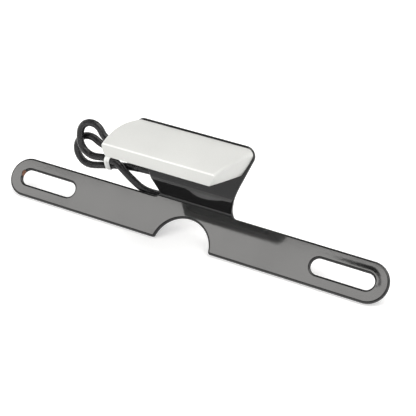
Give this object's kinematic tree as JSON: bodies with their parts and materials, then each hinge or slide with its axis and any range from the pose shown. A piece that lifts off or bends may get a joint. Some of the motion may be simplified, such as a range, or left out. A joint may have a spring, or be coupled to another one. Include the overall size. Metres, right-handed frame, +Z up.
{
  "type": "motorcycle license plate holder with lamp",
  "caption": "Flat slotted bar that bolts across the top of a license plate and carries a small plate lamp on a folded tongue, with the lamp's lead wound up behind it.",
  "frame": {"origin": "middle of the two-slot bolt pattern, on the bar's back face", "axes": "+X along the bar, +Y out of the bar's back face towards the plate, +Z up across the bar to the lamp"},
  "size_m": [0.187, 0.0591, 0.0468],
  "materials": {
    "black_gloss": "gloss",
    "lamp_silver": "satin",
    "clear_lens": "polished",
    "black_rubber": "matte",
    "board_green": "satin",
    "led_body": "satin",
    "part_black": "matte",
    "zinc_plate": "satin",
    "lead_sheath": "satin",
    "tie_white": "satin",
    "core_colour": "satin",
    "terminal_brass": "satin"
  },
  "bodies": {
    "root": {"bracket": "black_gloss", "lamp_housing": "lamp_silver", "lamp_lens": "clear_lens", "lens_gasket": "black_rubber", "lens_screws": "zinc_plate", "led_board": "board_green", "board_screws": "zinc_plate", "leds": "led_body", "resistors": "part_black", "polarity_diode": "part_black", "board_wires": "core_colour", "lamp_studs": "zinc_plate", "stud_washers": "zinc_plate", "stud_spring_washers": "zinc_plate", "stud_nuts": "zinc_plate", "lead_grommet": "black_rubber", "lamp_lead": "lead_sheath", "lead_hank": "lead_sheath", "twist_tie": "tie_white", "lead_tail": "lead_sheath", "lead_cores": "core_colour", "terminal_sleeves": "part_black", "bullet_terminals": "terminal_brass"}
  },
  "joints": []
}
